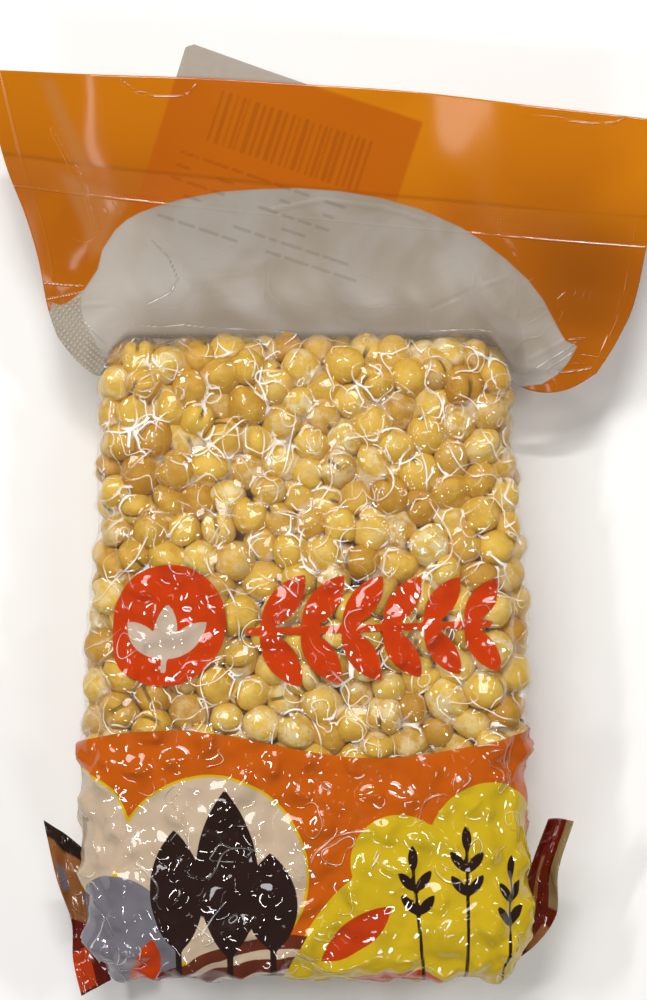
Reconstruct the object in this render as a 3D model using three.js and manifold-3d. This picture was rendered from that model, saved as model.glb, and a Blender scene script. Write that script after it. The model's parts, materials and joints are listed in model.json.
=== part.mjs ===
// A vacuum-packed pouch of roasted chickpeas, lying on its back with its printed side up.
//
// The chickpeas fill the lower part of the pouch and are drawn by the vacuum into a firm, bumpy brick. Above
// the brick the empty film goes on as a flat header, which is as wide as the pouch was before it was filled,
// with a heat-sealed band across it. The two bottom corners of the flat pouch are left over beside the brick,
// as ears. A price label is stuck to the back of the header, slanting, with one corner past its top edge.
//
// Millimetres, +Z up. +X is to the right as the front is read, and +Y points from the brick to the header.
// The origin is the centre of the brick's flat back, on the surface that the pouch lies on.

import * as THREE from "three";
import { mergeVertices } from "three/addons/utils/BufferGeometryUtils.js";
import Module from "manifold-3d";

const { degToRad, lerp, smoothstep } = THREE.MathUtils;

// ---- Driving dimensions ----------------------------------------------------------------------------------

const BRICK = { width: 117.5, length: 168.5, thickness: 44, edgeRadius: 13 };
const NECK = { from: -20, narrower: 0.088, thinner: 0.1 }; // the brick draws in towards the header
const PRESSED_FLAT = 1.8; // how far the lowest chickpeas are levelled by the surface under them
const FLAT_SPOT = { radius: 6, fades: 12, level: 2.6 }; // the middle of the back lies flat all over
const MIDDLE_PEA = { x: 1.6, y: -1.2 }; // the chickpea that the middle of the back lies on

const PEA = { diameter: 9.8, spread: 0.14, sunk: 2.6, packing: 1 };
const DRAPE = { deepest: 3.2, sag: 0.85, passes: 30 }; // how the film spans from one chickpea to the next
const FACET = 3.65; // the pitch of the brick's facets
const SLIVER = 0.02; // edges finer than this are left out where two shapes join

const HEADER = { rootZ: 17, rise: 6, wingLift: 9, middle: 5, ripple: 1.1, arch: 4.1, columns: 24, rows: 13 };
const HEADER_LEFT = [[-65.3, 83], [-68, 91], [-70.2, 103], [-73.4, 114.5], [-78.5, 128.5], [-84, 151.3]];
const HEADER_RIGHT = [[76, 73.6], [81, 81.5], [85.6, 91.5], [88.6, 105.5], [91, 120], [93, 138.7]];
const HEADER_FOOT = [[-65.3, 83], [-54, 72], [-33, 67], [0, 66], [30, 66], [50, 67.5], [65, 68.6], [76, 73.6]];
const FILM_PAIR = 0.8; // front and back film together, where they lie or are sealed on each other
const POCKET = { gap: 1.6, opens: 30, seal: 8 }; // they part this far below the top edge, and within the side seals
const SHOULDER = { height: 14.5, starts: 80, fades: 7 }; // and by more where they leave the brick

const EAR_FILM = 1.1;
const LABEL = { width: 65, height: 48, thickness: 0.4, turn: -18.5, x: -8, y: 127, clear: 0.35 };

// ---- Small helpers ---------------------------------------------------------------------------------------

const wasm = await Module();
wasm.setup();

/** A seeded source of numbers from 0 to 1, the same ones each time. */
function makeDice(seed) {
  let state = seed;
  return () => {
    state = (Math.imul(state, 1664525) + 1013904223) >>> 0;
    return state / 4294967296;
  };
}

/** A box geometry with one position for each corner that its faces share. */
function sharedBox(width, height, depth, ...segments) {
  const box = new THREE.BoxGeometry(width, height, depth, ...segments);
  box.deleteAttribute("normal");
  box.deleteAttribute("uv");
  return mergeVertices(box, 1e-4);
}

/** A thin closed sheet: place(u, v, side) says where each point of its front (side 1) and back (-1) goes. */
function bentSheet(columns, rows, place) {
  const sheet = sharedBox(1, 1, 1, columns, rows, 1);
  const position = sheet.getAttribute("position");
  for (let i = 0; i < position.count; i++) {
    const side = Math.sign(position.getZ(i));
    const point = place(position.getX(i) + 0.5, position.getY(i) + 0.5, side);
    position.setXYZ(i, point.x, point.y, point.z);
  }
  return sheet;
}

function toSolid(geometry) {
  return new wasm.Manifold(
    new wasm.Mesh({
      numProp: 3,
      vertProperties: geometry.getAttribute("position").array,
      triVerts: new Uint32Array(geometry.index.array),
    }),
  );
}

/** One geometry of several that run into each other, without the slivers along their seams. */
function joined(...geometries) {
  const solid = geometries.map(toSolid).reduce((whole, piece) => whole.add(piece)).simplify(SLIVER);
  const mesh = solid.getMesh();
  const geometry = new THREE.BufferGeometry();
  geometry.setAttribute("position", new THREE.BufferAttribute(mesh.vertProperties, 3));
  geometry.setIndex(new THREE.BufferAttribute(mesh.triVerts, 1));
  return geometry;
}

const flatCurve = (points) => new THREE.SplineCurve(points.map((p) => new THREE.Vector2(...p)));
const spaceCurve = (points) => new THREE.CatmullRomCurve3(points.map((p) => new THREE.Vector3(...p)));

// ---- The brick of chickpeas ------------------------------------------------------------------------------

const halfBrick = new THREE.Vector3(BRICK.width, BRICK.length, BRICK.thickness).multiplyScalar(0.5);
const brickCore = halfBrick.clone().subScalar(BRICK.edgeRadius);

/** The point of the rounded brick nearest to a point, sunk below its skin, and the way out from there. */
function onBrick(point, sunk = 0) {
  const foot = point.clone().clamp(brickCore.clone().negate(), brickCore);
  const out = point.clone().sub(foot).normalize();
  return { out, at: foot.addScaledVector(out, BRICK.edgeRadius - sunk) };
}

/** A point anywhere on the brick's six sides, each side as likely as it is large. */
function anywhereOnBrick(dice) {
  const { x, y, z } = halfBrick;
  const pick = dice() * (x * y + y * z + z * x);
  const side = dice() < 0.5 ? -1 : 1;
  const spot = new THREE.Vector3(x, y, z).multiply(
    new THREE.Vector3(2 * dice() - 1, 2 * dice() - 1, 2 * dice() - 1),
  );
  if (pick < x * y) spot.z = side * z;
  else if (pick < x * y + y * z) spot.x = side * x;
  else spot.y = side * y;
  return spot;
}

/** The outer layer of chickpeas, as spheres that lie against the film and against each other. */
function layPeas() {
  const dice = makeDice(20);
  const radius = PEA.diameter / 2;
  const { x, y, z } = halfBrick.clone().subScalar(radius);
  const count = Math.round((PEA.packing * 8 * (x * y + y * z + z * x)) / (Math.PI * radius ** 2));
  const peas = Array.from({ length: count }, () => {
    const r = radius * (1 + PEA.spread * (2 * dice() - 1));
    const sunk = r + PEA.sunk * dice() ** 2;
    return { r, sunk, at: onBrick(anywhereOnBrick(dice), sunk).at };
  });
  peas[0] = { r: radius, sunk: radius, at: new THREE.Vector3(MIDDLE_PEA.x, MIDDLE_PEA.y, radius - halfBrick.z) };
  for (let pass = 0; pass < 90; pass++) spreadPeas(peas);
  return peas;
}

/** Pushes apart the chickpeas that overlap, and puts them back against the film. The first one stays. */
function spreadPeas(peas) {
  const moves = peas.map((pea) => {
    const move = new THREE.Vector3();
    for (const other of peas) {
      const apart = pea.at.clone().sub(other.at);
      const far = apart.length();
      const reach = pea.r + other.r;
      if (far > 1e-6 && far < reach) move.addScaledVector(apart, (0.35 * (reach - far)) / far);
    }
    return move;
  });
  peas.forEach((pea, i) => {
    if (i > 0) pea.at = onBrick(pea.at.add(moves[i]), pea.sunk).at;
  });
}

/** How far out the chickpeas hold the film above a point of the brick's skin. */
function heldOut({ at, out }, peas) {
  let height = -DRAPE.deepest;
  for (const pea of peas) {
    const toPea = pea.at.clone().sub(at);
    const along = toPea.dot(out);
    const aside = toPea.lengthSq() - along * along;
    if (aside < pea.r ** 2) height = Math.max(height, along + Math.sqrt(pea.r ** 2 - aside));
  }
  return height;
}

/** Moves the nearest vertex to the top of each chickpea, so that no bump is cut off by the facets. */
function meetPeaTops(skin, peas) {
  const taken = new Set();
  for (const pea of peas) {
    const top = onBrick(pea.at);
    let nearest = -1;
    let least = FACET ** 2;
    skin.forEach((point, i) => {
      const far = point.at.distanceToSquared(top.at);
      if (far < least && !taken.has(i)) [nearest, least] = [i, far];
    });
    if (nearest >= 0) {
      taken.add(nearest);
      skin[nearest] = top;
    }
  }
}

/** The neighbours of each vertex. */
function neighboursIn(index, count) {
  const found = Array.from({ length: count }, () => new Set());
  for (let i = 0; i < index.length; i += 3) {
    for (let side = 0; side < 3; side++) {
      const [a, b] = [index[i + side], index[i + ((side + 1) % 3)]];
      found[a].add(b);
      found[b].add(a);
    }
  }
  return found.map((set) => [...set]);
}

/** The height of the film at each vertex: the vacuum draws it in until the chickpeas hold it. */
function drape(held, neighbours) {
  let height = held;
  for (let pass = 0; pass < DRAPE.passes; pass++) {
    height = held.map((least, i) => {
      const around = neighbours[i].reduce((sum, n) => sum + height[n], 0) / neighbours[i].length;
      return Math.max(least, around - DRAPE.sag);
    });
  }
  return height;
}

/** Folds each square of the net along the diagonal that stands higher, so that every bump is rounded. */
function foldOverBumps(index, height) {
  for (let i = 0; i < index.length; i += 6) {
    const [a, b, d, , c] = index.slice(i, i + 5);
    if (height[a] + height[c] > height[b] + height[d]) index.set([a, b, c, a, c, d], i);
  }
}

/** Narrows and thins the brick towards its header, dents it a little, and levels what it lies on. */
function settled(point) {
  const neck = smoothstep(point.y, NECK.from, halfBrick.y);
  const upper = (point.z + halfBrick.z) / BRICK.thickness;
  const dent = Math.sin(point.x / 19 + 1) * Math.cos(point.y / 27) + 0.6 * Math.sin(point.y / 11 + point.x / 33);
  const spot = 1 - smoothstep(Math.hypot(point.x, point.y), FLAT_SPOT.radius, FLAT_SPOT.fades);
  const levelled = PRESSED_FLAT + FLAT_SPOT.level * spot * Math.max(0, 1 - 4 * upper);
  return new THREE.Vector3(
    point.x * (1 - NECK.narrower * neck) + 0.7 * Math.sin(point.y / 17),
    point.y,
    Math.max(0, (point.z + halfBrick.z) * (1 - NECK.thinner * neck) - levelled + 0.8 * upper * dent),
  );
}

function brick() {
  const peas = layPeas();
  const segments = [BRICK.width, BRICK.length, BRICK.thickness].map((size) => Math.round(size / FACET));
  const geometry = sharedBox(BRICK.width, BRICK.length, BRICK.thickness, ...segments);
  const position = geometry.getAttribute("position");
  const skin = [];
  for (let i = 0; i < position.count; i++) skin.push(onBrick(new THREE.Vector3().fromBufferAttribute(position, i)));
  meetPeaTops(skin, peas);
  const index = geometry.index.array;
  const height = drape(skin.map((point) => heldOut(point, peas)), neighboursIn(index, skin.length));
  foldOverBumps(index, height);
  geometry.setFromPoints(skin.map(({ at, out }, i) => settled(at.clone().addScaledVector(out, height[i]))));
  return geometry;
}

// ---- The header ------------------------------------------------------------------------------------------

const leftEdge = flatCurve(HEADER_LEFT);
const rightEdge = flatCurve(HEADER_RIGHT);
const foot = flatCurve(HEADER_FOOT);
const [footLeft, footRight] = [foot.getPoint(0), foot.getPoint(1)];
const [topLeft, topRight] = [leftEdge.getPoint(1), rightEdge.getPoint(1)];

/** How far the header's top edge stands above the straight line between its ends, at u from 0 to 1. */
const arch = (u) => 4 * HEADER.arch * u * (1 - u);

/** How far a point lies below the header's top edge. */
function belowTop(x, y) {
  const u = (x - topLeft.x) / (topRight.x - topLeft.x);
  return lerp(topLeft.y, topRight.y, u) + arch(u) - y;
}

/** The height of the middle of the header's film: it rises to its top edge and to its two wings. */
function headerZ(x, y) {
  const up = (y - halfBrick.y) / (topLeft.y - halfBrick.y);
  const out = (x - HEADER.middle) / topRight.x;
  const wave = Math.sin(x / 20 + 0.6) + 0.6 * Math.sin(x / 9 + y / 31);
  return HEADER.rootZ + HEADER.rise * up * Math.abs(up) + HEADER.wingLift * out * out + HEADER.ripple * up * wave;
}

/** The point of the header at (u, v) of its four edges, a Coons patch with an arched top edge. */
function onHeader(u, v) {
  const level = topLeft.clone().lerp(topRight, u);
  const top = level.clone().add(new THREE.Vector2(0, arch(u)));
  const across = leftEdge.getPoint(v).lerp(rightEdge.getPoint(v), u);
  const square = footLeft.clone().lerp(footRight, u).lerp(level, v);
  return foot.getPoint(u).lerp(top, v).add(across).sub(square);
}

/** Half the distance from the header's front film to its back film. fromSide is the way to its nearer side. */
function headerHalf(x, y, fromSide = Infinity) {
  const withinSeals = smoothstep(fromSide, POCKET.seal, 4 * POCKET.seal);
  const open = smoothstep(belowTop(x, y), POCKET.opens, 2 * POCKET.opens) * withinSeals;
  const ahead = Math.max(0, y - SHOULDER.starts);
  const overBrick = 1 - smoothstep(Math.abs(x), 0.72 * halfBrick.x, halfBrick.x);
  return FILM_PAIR / 2 + (POCKET.gap / 2) * open + SHOULDER.height * overBrick * Math.exp(-ahead / SHOULDER.fades);
}

function header() {
  return bentSheet(HEADER.columns, HEADER.rows, (u, v, side) => {
    const { x, y } = onHeader(u, v);
    const fromSide = Math.min(u, 1 - u) * leftEdge.getPoint(v).distanceTo(rightEdge.getPoint(v));
    return new THREE.Vector3(x, y, headerZ(x, y) + side * headerHalf(x, y, fromSide));
  });
}

// ---- The ears --------------------------------------------------------------------------------------------

/** A corner of the pouch that stands out beside the brick, hollowed along its length like a gutter. */
function ear(inner, outer, hollow) {
  const root = spaceCurve(inner);
  const rim = spaceCurve(outer);
  const hand = Math.sign(outer[0][0]); // the left ear is drawn from right to left, so its sides change places
  return bentSheet(5, 12, (across, along, side) => {
    const point = root.getPoint(along).lerp(rim.getPoint(along), across);
    point.z += (hand * side * EAR_FILM) / 2 - hollow * Math.sin(Math.PI * across) * along;
    return point;
  });
}

const leftEar = () =>
  ear(
    [[-38, -77, 18], [-43, -73, 18.5], [-45, -69, 20], [-46, -64, 22], [-46, -58, 24]],
    [[-60, -91.5, 16], [-62, -81.5, 17], [-62.2, -71, 18.5], [-65.6, -58.5, 23], [-68.2, -42.7, 29]],
    2.5,
  );

const rightEar = () =>
  ear(
    [[36, -75, 17], [45, -71, 18], [52, -65.5, 21], [58, -55, 26], [62.5, -42, 31]],
    [[50, -85, 15], [59, -79, 17], [65.5, -69, 21], [65.5, -56, 27], [69, -42.5, 32]],
    3,
  );

// ---- The label -------------------------------------------------------------------------------------------

function label() {
  const turn = degToRad(LABEL.turn);
  const under = LABEL.clear + LABEL.thickness / 2;
  return bentSheet(12, 8, (u, v, side) => {
    const flat = new THREE.Vector2((u - 0.5) * LABEL.width, (v - 0.5) * LABEL.height);
    const { x, y } = flat.rotateAround(new THREE.Vector2(), turn).add(new THREE.Vector2(LABEL.x, LABEL.y));
    return new THREE.Vector3(x, y, headerZ(x, y) - headerHalf(x, y) - under + (side * LABEL.thickness) / 2);
  });
}

// ---- The pack --------------------------------------------------------------------------------------------

function named(name, geometry, look) {
  const mesh = new THREE.Mesh(geometry, new THREE.MeshStandardMaterial(look));
  mesh.name = name;
  return mesh;
}

const pack = new THREE.Group();
pack.add(
  named("bag", joined(brick(), header(), leftEar(), rightEar()), { color: 0xd9a441, roughness: 0.25, metalness: 0 }),
  named("price_label", label(), { color: 0xd8d2c6, roughness: 0.6, metalness: 0 }),
);

export default pack;
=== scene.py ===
"""A vacuum-packed pouch of roasted chickpeas, lying on its back with its printed side up.

Each piece is modelled here at its real size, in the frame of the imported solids. Lengths are worked out in
millimetres and go into the meshes in metres.
"""

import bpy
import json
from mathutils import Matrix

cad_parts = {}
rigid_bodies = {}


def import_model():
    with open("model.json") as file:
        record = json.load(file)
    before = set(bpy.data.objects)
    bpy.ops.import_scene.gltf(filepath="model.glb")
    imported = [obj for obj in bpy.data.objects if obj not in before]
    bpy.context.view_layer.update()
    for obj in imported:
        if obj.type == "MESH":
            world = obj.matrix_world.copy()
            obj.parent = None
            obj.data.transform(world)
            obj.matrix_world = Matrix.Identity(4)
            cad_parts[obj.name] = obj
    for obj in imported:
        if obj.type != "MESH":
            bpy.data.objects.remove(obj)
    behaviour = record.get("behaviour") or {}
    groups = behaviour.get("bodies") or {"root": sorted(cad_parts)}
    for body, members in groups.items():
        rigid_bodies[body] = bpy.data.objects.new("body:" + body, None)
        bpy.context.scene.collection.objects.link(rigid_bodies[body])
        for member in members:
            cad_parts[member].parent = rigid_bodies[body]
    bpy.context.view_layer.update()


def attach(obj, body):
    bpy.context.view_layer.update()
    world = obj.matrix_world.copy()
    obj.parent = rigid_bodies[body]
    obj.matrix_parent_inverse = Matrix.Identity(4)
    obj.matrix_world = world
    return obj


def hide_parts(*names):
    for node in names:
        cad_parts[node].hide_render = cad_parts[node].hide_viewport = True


bl_info = {
    "name": "Bag of Roasted Chickpeas",
    "version": (1, 0, 0),
    "blender": (4, 5, 0),
    "location": "View3D > Sidebar > Chickpeas",
    "description": "A clear vacuum pouch of roasted chickpeas with a printed header and a price label",
    "category": "Add Mesh",
}

import json
import math

import bmesh
import bpy
import numpy as np
from mathutils import Euler, Vector, noise
from mathutils.bvhtree import BVHTree

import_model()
MM = 0.001


# ---- Sizes and colours that a user would change ----


def length(name, description, millimetres):
    """A length that the panel shows in the scene's unit."""
    return bpy.props.FloatProperty(
        name=name, description=description, default=millimetres * MM, unit="LENGTH", precision=5
    )


def colour(name, description, srgb):
    """A colour, given as the 0 to 255 values that the eye sees."""
    return bpy.props.FloatVectorProperty(
        name=name, description=description, default=[linear(v) for v in srgb], subtype="COLOR", min=0, max=1
    )


def share(name, description, value):
    """A part of a whole, from 0 to 1."""
    return bpy.props.FloatProperty(
        name=name, description=description, default=value, min=0, max=1, subtype="FACTOR"
    )


def linear(value):
    """One 0 to 255 value of a colour as light."""
    c = value / 255
    return c / 12.92 if c <= 0.04045 else ((c + 0.055) / 1.055) ** 2.4


class BrickSizes(bpy.types.PropertyGroup):
    """The filled part of the pouch."""

    width: length("Width", "Across the filled brick", 117.5)
    span: length("Length", "From the bottom of the brick to its header", 168.5)
    thickness: length("Thickness", "From the back of the brick to its front", 44)
    edge: length("Edge radius", "How round the brick's edges are", 13)
    pressed: length("Pressed flat", "How far the lowest chickpeas are levelled", 1.8)
    narrower: share("Narrower neck", "How far the brick draws in towards its header", 0.088)
    thinner: share("Thinner neck", "How far the brick thins towards its header", 0.1)
    film_pitch: length("Film facets", "The spacing of the film's points", 0.75)
    draw: share("Vacuum", "How hard the film is drawn in between the chickpeas", 0.14)


class ChickpeaSizes(bpy.types.PropertyGroup):
    """The chickpeas."""

    across: length("Diameter", "Across a usual chickpea", 9.8)
    spread: share("Spread", "How much larger or smaller one may be", 0.14)
    sunk: length("Sunk", "How far one may lie below the film", 2.6)
    packing: share("Packing", "How densely the outer layer is packed", 1)
    gold: colour("Gold", "The usual roasted colour", (213, 173, 64))
    brown: colour("Brown", "Where the roasting went further", (180, 129, 27))
    pale: colour("Pale", "Where flour and skin are left", (222, 203, 150))


class PrintColours(bpy.types.PropertyGroup):
    """The inks on the film."""

    header: colour("Header", "The translucent ink of the header", (198, 117, 3))
    header_deep: colour("Header, deep", "The header's ink below its sealed band", (162, 86, 2))
    # Painted shade: the header's ink where the label behind it keeps the light from coming through.
    header_shaded: colour("Header, shaded", "The header's ink over the label", (168, 78, 2))
    # Painted reflection: the pale colour of the glare patches on the header's left.
    header_painted_reflection: colour("Header, painted reflection", "Pale patches of painted reflection on the header's left", (170, 118, 72))
    smoke: colour("Window", "The smoky tint of the clear window", (152, 140, 123))
    smoke_light: colour("Window, milky", "The milky streaks of the window", (164, 155, 144))
    smoke_pale: colour("Window, pale", "The window's left part and its crimped corner", (184, 175, 163))
    paper: colour("Label", "The paper of the price label", (164, 152, 138))
    badge: colour("Badge", "The ink of the badge and the leaves beside it", (190, 54, 1))
    white: colour("White", "The ink inside the badge", (188, 168, 148))
    field: colour("Field", "The ground of the lower print", (186, 84, 1))
    cream: colour("Cream", "The sun and the paths", (190, 168, 142))
    slate: colour("Slate", "The far hill", (110, 106, 114))
    yellow: colour("Yellow", "The near hills", (196, 165, 22))
    dark: colour("Dark", "The trees and the stalks", (34, 18, 14))
    tan: colour("Tan", "The folded corners", (138, 86, 44))
    maroon: colour("Maroon", "The folded corners, dark", (92, 18, 4))
    olive: colour("Olive", "The right corner's outer edge", (132, 112, 76))
    earth: colour("Earth", "The ploughed field", (92, 38, 20))
    red: colour("Red", "The pods", (180, 54, 4))


class StageSizes(bpy.types.PropertyGroup):
    """The camera and the floor."""

    centre_x: length("Camera across", "How far right of the brick's centre the camera stands", 4.4)
    centre_y: length("Camera along", "How far towards the header the camera stands", 40.4)
    height: length("Camera height", "How far above the floor the camera stands", 564)
    seen: length("Seen length", "The length that fills the picture, at the brick's front", 252.5)
    front: length("Front height", "The height of the brick's front", 43)
    floor: colour("Floor", "The pale floor", (236, 234, 231))


# ---- The brick and where its chickpeas lie ----


class Dice:
    """Seeded numbers from 0 to 1, the same ones that lay the chickpeas of the solid."""

    def __init__(self, seed):
        self.state = seed

    def __call__(self):
        self.state = (self.state * 1664525 + 1013904223) & 0xFFFFFFFF
        return self.state / 4294967296


def unit(vectors):
    """Vectors made one long."""
    far = np.linalg.norm(vectors, axis=-1, keepdims=True)
    return vectors / np.maximum(far, 1e-9)


def smoothstep(low, high, x):
    """0 up to low, 1 from high on, and a smooth climb between them."""
    t = np.clip((x - low) / (high - low), 0, 1)
    return t * t * (3 - 2 * t)


class Brick:
    """The rounded box that the vacuum makes of the chickpeas, centred on the origin until it is settled."""

    def __init__(self, sizes):
        self.half = np.array([sizes.width, sizes.span, sizes.thickness]) / MM / 2
        self.edge = sizes.edge / MM
        self.core = self.half - self.edge
        self.pressed = sizes.pressed / MM
        self.narrower = sizes.narrower
        self.thinner = sizes.thinner

    def skin(self, points, sunk=0.0):
        """The nearest points of the skin, or of a layer sunk below it, and the ways out there."""
        foot = np.clip(points, -self.core, self.core)
        out = unit(points - foot)
        return foot + out * (self.edge - np.reshape(sunk, (-1, 1))), out

    def settled(self, p, level=True):
        """The same points once the brick has drawn in, been dented a little and been laid down.

        The dents are shallow waves, and one spot under the brick's middle is drawn down to rest on the floor.
        """
        x, y, z = p[..., 0], p[..., 1], p[..., 2] + self.half[2]
        neck = smoothstep(-20, self.half[1], y)
        upper = z / (2 * self.half[2])
        dent = np.sin(x / 19 + 1) * np.cos(y / 27) + 0.6 * np.sin(y / 11 + x / 33)
        spot = (1 - smoothstep(6, 12, np.hypot(x, y))) * np.maximum(0, 1 - 4 * upper)
        height = z * (1 - self.thinner * neck) - self.pressed - 2.6 * spot + 0.8 * upper * dent
        across = x * (1 - self.narrower * neck) + 0.7 * np.sin(y / 17)
        return np.stack([across, y, np.maximum(0, height) if level else height], axis=-1)

    def unfolded(self, points):
        """Where each point lies on the flat film that was drawn over the brick, front and back alike."""
        foot = np.clip(points, -self.core, self.core)
        out = unit(points - foot)
        toward = np.where(points[:, 2] >= 0, 1.0, -1.0)
        turned = np.arccos(np.clip(out[:, 2] * toward, -1, 1))
        fold = self.edge * turned + np.where(turned > 1e-6, self.core[2] - foot[:, 2] * toward, 0)
        sideways = unit(out[:, :2])
        return foot[:, 0] + sideways[:, 0] * fold, foot[:, 1] + sideways[:, 1] * fold


LAID = {}


def laid_chickpeas(brick, sizes, seed, deeper=0.0):
    """The centres and radii of one layer of chickpeas, worked out once for the same sizes."""
    key = seed, deeper, *brick.half, brick.edge, sizes.across, sizes.spread, sizes.sunk, sizes.packing
    if key not in LAID:
        LAID[key] = lay_chickpeas(brick, sizes, seed, deeper)
    return LAID[key]


def lay_chickpeas(brick, sizes, seed, deeper):
    """Lays one layer of chickpeas, pressed against each other and against the film."""
    dice = Dice(seed)
    radius = sizes.across / MM / 2
    x, y, z = brick.half - radius - deeper
    sides = x * y, y * z, z * x
    count = round(sizes.packing * 8 * sum(sides) / (math.pi * radius**2))
    hx, hy, hz = brick.half
    r, sunk, spots = np.empty(count), np.empty(count), np.empty((count, 3))
    for i in range(count):
        r[i] = radius * (1 + sizes.spread * (2 * dice() - 1))
        sunk[i] = r[i] + sizes.sunk / MM * dice() ** 2 + deeper
        pick = dice() * (hx * hy + hy * hz + hz * hx)
        side = -1 if dice() < 0.5 else 1
        spot = [hx * (2 * dice() - 1), hy * (2 * dice() - 1), hz * (2 * dice() - 1)]
        axis = 2 if pick < hx * hy else (0 if pick < hx * hy + hy * hz else 1)
        spot[axis] = side * brick.half[axis]
        spots[i] = spot
    at, _ = brick.skin(spots, sunk)
    if not deeper:
        r[0], sunk[0], at[0] = radius, radius, (1.6, -1.2, radius - hz)
    reach = r[:, None] + r[None, :]
    for _ in range(90):
        apart = at[:, None, :] - at[None, :, :]
        far = np.linalg.norm(apart, axis=2)
        push = np.where((far > 1e-6) & (far < reach), 0.35 * (reach - far) / np.maximum(far, 1e-6), 0)
        moved, _ = brick.skin(at + (apart * push[:, :, None]).sum(axis=1), sunk)
        if not deeper:
            moved[0] = at[0]
        at = moved
    return at, r


# ---- Meshes ----


def coordinates(bm):
    """The places of a mesh's points, as an array."""
    return np.array([v.co for v in bm.verts])


def place(bm, points):
    for vert, point in zip(bm.verts, points):
        vert.co = point


def write_layers(bm, **fields):
    """Keeps numbers for each point, which a material reads as attributes."""
    for name, values in fields.items():
        layer = bm.verts.layers.float.new(name)
        for vert, value in zip(bm.verts, values):
            vert[layer] = value


def finish(bm, name, material, replaces=None):
    """Makes a piece of a mesh in millimetres: smooth, in metres, riding on the pouch."""
    for vert in bm.verts:
        vert.co *= MM
    for face in bm.faces:
        face.smooth = True
    mesh = bpy.data.meshes.new(name)
    bm.to_mesh(mesh)
    bm.free()
    piece = bpy.data.objects.new(name, mesh)
    bpy.context.scene.collection.objects.link(piece)
    mesh.materials.append(material)
    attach(piece, "root")
    if replaces:
        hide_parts(replaces)
    return piece


def cut_box(half, parts):
    """A box of that half size, cut into so many parts along each axis."""
    bm = bmesh.new()
    bmesh.ops.create_cube(bm, size=2)
    for axis in range(3):
        along = [e for e in bm.edges if abs(e.verts[0].co[axis] - e.verts[1].co[axis]) > 1e-6]
        if parts[axis] > 1:
            bmesh.ops.subdivide_edges(bm, edges=along, cuts=parts[axis] - 1, use_grid_fill=True)
    bmesh.ops.scale(bm, vec=Vector(half), verts=bm.verts)
    return bm


def sheet(columns, rows, put):
    """A thin closed sheet, and its points' u and v. put(u, v, side) gives where they go."""
    bm = cut_box((0.5, 0.5, 1), (columns, rows, 1))
    flat = coordinates(bm)
    u, v, side = flat[:, 0] + 0.5, flat[:, 1] + 0.5, flat[:, 2]
    place(bm, put(u, v, side))
    return bm, u, v


def spline(points, t):
    """Points of a smooth curve through the given ones, t from 0 to 1."""
    points = np.asarray(points, float)
    last = len(points) - 1
    t = np.asarray(t, float) * last
    i = np.clip(np.floor(t).astype(int), 0, last - 1)
    w = (t - i)[..., None]
    before, a, b, after = (points[np.clip(i + k, 0, last)] for k in (-1, 0, 1, 2))
    m, n = (b - before) / 2, (after - a) / 2
    return (2 * a - 2 * b + m + n) * w**3 + (-3 * a + 3 * b - 2 * m - n) * w**2 + m * w + a


def inside_of(x, y, outline):
    """The distance inside a closed outline: above 0 within it."""
    near = np.full(x.shape, 1e9)
    within = np.zeros(x.shape, bool)
    for (ax, ay), (bx, by) in zip(outline, outline[1:] + outline[:1]):
        dx, dy = bx - ax, by - ay
        along = np.clip(((x - ax) * dx + (y - ay) * dy) / (dx * dx + dy * dy), 0, 1)
        near = np.minimum(near, np.hypot(x - ax - along * dx, y - ay - along * dy))
        if dy:
            within ^= ((ay > y) != (by > y)) & (x < dx * (y - ay) / dy + ax)
    return np.where(within, near, -near)


def held_out(brick, at, out, highest=6.0, deepest=4.0):
    """How far out the chickpeas hold the film above each point of the skin, met from outside."""
    points, faces = [], []
    for piece in bpy.data.objects:
        if piece.name.startswith("chickpeas_"):
            start = len(points)
            points += [v.co / MM for v in piece.data.vertices]
            faces += [[start + i for i in face.vertices] for face in piece.data.polygons]
    heap = BVHTree.FromPolygons(points, faces)
    begin, end = brick.settled(at + out * highest, False), brick.settled(at - out * deepest, False)
    height = np.full(len(at), -deepest)
    for i, (a, b) in enumerate(zip(begin, end)):
        far = float(np.linalg.norm(b - a))
        met = heap.ray_cast(Vector(a), Vector(b - a), far)[3]
        if met is not None:
            height[i] = highest - (highest + deepest) * met / far
    return height


def to_gap(at, out, centres, radii):
    """How far each point is from the middle of the gap between its two nearest chickpeas."""
    middle = np.zeros(len(at))
    for start in range(0, len(at), 4000):
        part = slice(start, start + 4000)
        apart = centres[None, :, :] - at[part, None, :]
        along = np.einsum("ijk,ik->ij", apart, out[part])
        aside = np.einsum("ijk,ijk->ij", apart, apart) - along**2
        near = np.sqrt(np.maximum(aside, 0)) - radii + np.where(np.abs(along) < 9, 0, 50)
        first, second = np.partition(near, 1, axis=1)[:, :2].T
        middle[part] = (second - first) / 2
    return middle


def uneven(points, wide, seed=0.0):
    """Smooth noise at each point, its grains about that many millimetres wide."""
    return np.array([noise.noise(Vector(p)) for p in points / wide + seed])


def contour(at, out, wide, level, seed):
    """The distance from each point to a contour of noise, along the skin."""
    value = uneven(at, wide, seed)
    slope = np.stack([uneven(at + step, wide, seed) - value for step in 0.25 * np.eye(3)], axis=1) / 0.25
    slope -= out * (slope * out).sum(axis=1, keepdims=True)
    return (value - level) / np.maximum(np.linalg.norm(slope, axis=1), 0.01)


def drape(bm, held, draw, pitch, passes=220):
    """The film's height at each point: the vacuum draws it in until the chickpeas hold it."""
    bm.verts.index_update()
    ends = np.array([(e.verts[0].index, e.verts[1].index) for e in bm.edges])
    a, b = ends[:, 0], ends[:, 1]
    count = len(held)
    degree = np.bincount(a, minlength=count) + np.bincount(b, minlength=count)
    height = np.maximum(held, -0.4)
    for _ in range(passes):
        total = np.bincount(a, height[b], count) + np.bincount(b, height[a], count)
        height = np.maximum(held, total / degree - draw * pitch**2 / 4)
    return height


# ---- Materials ----

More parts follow.
